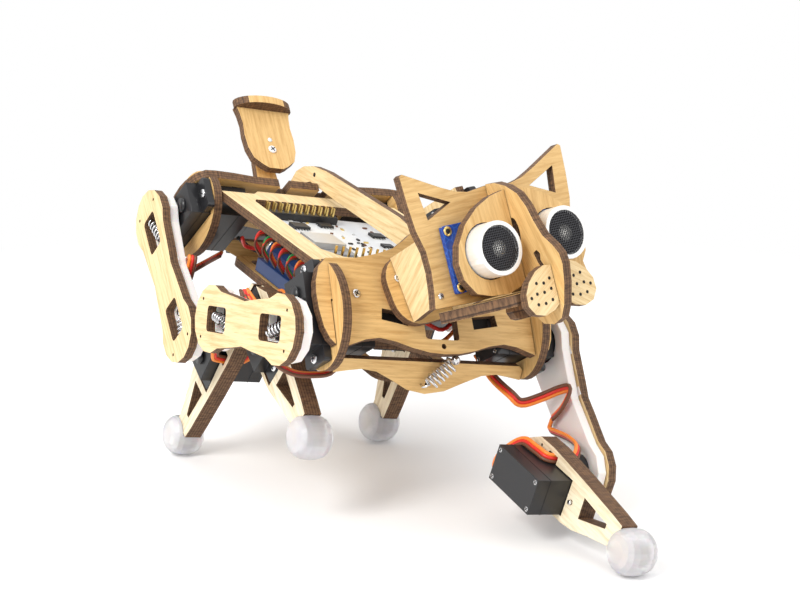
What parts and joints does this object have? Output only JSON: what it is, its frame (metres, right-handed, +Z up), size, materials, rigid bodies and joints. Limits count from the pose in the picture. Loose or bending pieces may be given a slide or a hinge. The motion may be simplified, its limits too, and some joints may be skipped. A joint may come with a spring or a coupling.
{
  "type": "robot cat",
  "caption": "Small four-legged walking robot shaped like a cat, cut from plywood sheet, with hinged legs, neck, head and tail and a sensor face",
  "frame": {"origin": "ground point below the middle of the overall box", "axes": "+Z up, head towards -Y, the robot left side towards +X"},
  "size_m": [0.1122, 0.2216, 0.1187],
  "materials": {
    "chest_plate": "matte",
    "rear_plate": "matte",
    "front_lower_plate": "matte",
    "rear_lower_plate": "matte",
    "back_frame": "matte",
    "spine_rail": "matte",
    "circuit_board": "satin",
    "battery_tray": "matte",
    "battery_pack": "satin",
    "pan_servo": "satin",
    "tail_servo": "satin",
    "chest_spring": "satin",
    "front_left_shoulder_board": "matte",
    "front_right_shoulder_board": "matte",
    "rear_left_shoulder_board": "matte",
    "rear_right_shoulder_board": "matte",
    "front_left_hip_servo": "satin",
    "front_right_hip_servo": "satin",
    "rear_left_hip_servo": "satin",
    "rear_right_hip_servo": "satin",
    "front_left_knee_lead": "satin",
    "front_right_knee_lead": "satin",
    "rear_left_knee_lead": "satin",
    "rear_right_knee_lead": "satin",
    "front_left_thigh_plate": "matte",
    "front_left_thigh_core": "matte",
    "front_left_knee_servo": "satin",
    "front_left_shank": "matte",
    "front_left_foot": "satin",
    "front_right_thigh_plate": "matte",
    "front_right_thigh_core": "matte",
    "front_right_knee_servo": "satin",
    "front_right_shank": "matte",
    "front_right_foot": "satin",
    "rear_left_thigh_plate": "matte",
    "rear_left_thigh_core": "matte",
    "rear_left_knee_servo": "satin",
    "rear_left_shank": "matte",
    "rear_left_foot": "satin",
    "rear_right_thigh_plate": "matte",
    "rear_right_thigh_core": "matte",
    "rear_right_knee_servo": "satin",
    "rear_right_shank": "matte",
    "rear_right_foot": "satin",
    "neck_plate": "matte",
    "tilt_servo": "satin",
    "neck_servo_bracket": "matte",
    "neck_side_plate": "matte",
    "face_plate": "matte",
    "sensor_board": "gloss",
    "left_eye_transducer": "satin",
    "right_eye_transducer": "satin",
    "left_eye_plate": "matte",
    "right_eye_plate": "matte",
    "nose_plate": "matte",
    "left_whisker_pad": "matte",
    "right_whisker_pad": "matte",
    "jaw_plate": "matte",
    "head_arm": "matte",
    "tail": "matte"
  },
  "bodies": {
    "body": {"chest_plate": "chest_plate", "rear_plate": "rear_plate", "front_lower_plate": "front_lower_plate", "rear_lower_plate": "rear_lower_plate", "back_frame": "back_frame", "spine_rail": "spine_rail", "circuit_board": "circuit_board", "battery_tray": "battery_tray", "battery_pack": "battery_pack", "pan_servo": "pan_servo", "tail_servo": "tail_servo", "chest_spring": "chest_spring", "front_left_shoulder_board": "front_left_shoulder_board", "front_right_shoulder_board": "front_right_shoulder_board", "rear_left_shoulder_board": "rear_left_shoulder_board", "rear_right_shoulder_board": "rear_right_shoulder_board", "front_left_hip_servo": "front_left_hip_servo", "front_right_hip_servo": "front_right_hip_servo", "rear_left_hip_servo": "rear_left_hip_servo", "rear_right_hip_servo": "rear_right_hip_servo", "front_left_knee_lead": "front_left_knee_lead", "front_right_knee_lead": "front_right_knee_lead", "rear_left_knee_lead": "rear_left_knee_lead", "rear_right_knee_lead": "rear_right_knee_lead"},
    "front_left_thigh": {"front_left_thigh_plate": "front_left_thigh_plate", "front_left_thigh_core": "front_left_thigh_core"},
    "front_left_lower_leg": {"front_left_knee_servo": "front_left_knee_servo", "front_left_shank": "front_left_shank", "front_left_foot": "front_left_foot"},
    "front_right_thigh": {"front_right_thigh_plate": "front_right_thigh_plate", "front_right_thigh_core": "front_right_thigh_core"},
    "front_right_lower_leg": {"front_right_knee_servo": "front_right_knee_servo", "front_right_shank": "front_right_shank", "front_right_foot": "front_right_foot"},
    "rear_left_thigh": {"rear_left_thigh_plate": "rear_left_thigh_plate", "rear_left_thigh_core": "rear_left_thigh_core"},
    "rear_left_lower_leg": {"rear_left_knee_servo": "rear_left_knee_servo", "rear_left_shank": "rear_left_shank", "rear_left_foot": "rear_left_foot"},
    "rear_right_thigh": {"rear_right_thigh_plate": "rear_right_thigh_plate", "rear_right_thigh_core": "rear_right_thigh_core"},
    "rear_right_lower_leg": {"rear_right_knee_servo": "rear_right_knee_servo", "rear_right_shank": "rear_right_shank", "rear_right_foot": "rear_right_foot"},
    "neck": {"neck_plate": "neck_plate", "tilt_servo": "tilt_servo", "neck_servo_bracket": "neck_servo_bracket", "neck_side_plate": "neck_side_plate"},
    "head": {"face_plate": "face_plate", "sensor_board": "sensor_board", "left_eye_transducer": "left_eye_transducer", "right_eye_transducer": "right_eye_transducer", "left_eye_plate": "left_eye_plate", "right_eye_plate": "right_eye_plate", "nose_plate": "nose_plate", "left_whisker_pad": "left_whisker_pad", "right_whisker_pad": "right_whisker_pad", "jaw_plate": "jaw_plate", "head_arm": "head_arm"},
    "tail": {"tail": "tail"}
  },
  "joints": [
    {"name": "front_left_hip", "type": "hinge", "parent": "body", "child": "front_left_thigh", "pos_m": [0.0023, -0.0287, 0.05741], "axis": [0.9833, 0.0271, -0.1802], "range_deg": [-25, 80], "deforming": ["front_left_knee_lead"]},
    {"name": "front_left_knee", "type": "hinge", "parent": "front_left_thigh", "child": "front_left_lower_leg", "pos_m": [-0.0031, -0.05788, 0.02359], "axis": [0.9833, 0.0271, -0.1802], "range_deg": [-60, 50], "deforming": ["front_left_knee_lead"]},
    {"name": "front_right_hip", "type": "hinge", "parent": "body", "child": "front_right_thigh", "pos_m": [0.0023, -0.0287, 0.05741], "axis": [0.9833, 0.0271, -0.1802], "range_deg": [-80, 10], "deforming": ["front_right_knee_lead"]},
    {"name": "front_right_knee", "type": "hinge", "parent": "front_right_thigh", "child": "front_right_lower_leg", "pos_m": [-0.0001, 0.01578, 0.05101], "axis": [0.9833, 0.0271, -0.1802], "range_deg": [-10, 60], "deforming": ["front_right_knee_lead"]},
    {"name": "rear_left_hip", "type": "hinge", "parent": "body", "child": "rear_left_thigh", "pos_m": [0.0023, 0.07165, 0.0725], "axis": [0.9833, 0.0271, -0.1802], "range_deg": [-10, 60], "deforming": ["rear_left_knee_lead"]},
    {"name": "rear_left_knee", "type": "hinge", "parent": "rear_left_thigh", "child": "rear_left_lower_leg", "pos_m": [0.00098, 0.02878, 0.05887], "axis": [0.9833, 0.0271, -0.1802], "range_deg": [-50, 60], "deforming": ["rear_left_knee_lead"]},
    {"name": "rear_right_hip", "type": "hinge", "parent": "body", "child": "rear_right_thigh", "pos_m": [0.0023, 0.07165, 0.0725], "axis": [0.9833, 0.0271, -0.1802], "range_deg": [-2, 60], "deforming": ["rear_right_knee_lead"]},
    {"name": "rear_right_knee", "type": "hinge", "parent": "rear_right_thigh", "child": "rear_right_lower_leg", "pos_m": [-0.00231, 0.03851, 0.0424], "axis": [0.9833, 0.0271, -0.1802], "range_deg": [-50, 60], "deforming": ["rear_right_knee_lead"]},
    {"name": "neck_pan", "type": "hinge", "parent": "body", "child": "neck", "pos_m": [0.0054, -0.02928, 0.07426], "axis": [0.1154, -0.8578, 0.5008], "range_deg": [-45, 45]},
    {"name": "head_tilt", "type": "hinge", "parent": "neck", "child": "head", "pos_m": [0.008, -0.04859, 0.08553], "axis": [0.9854, 0.1624, 0.0511], "range_deg": [-20, 25]},
    {"name": "tail_wag", "type": "hinge", "parent": "body", "child": "tail", "pos_m": [0.00471, 0.08023, 0.08694], "axis": [0.141, -0.7395, 0.6583], "range_deg": [-25, 25]}
  ]
}
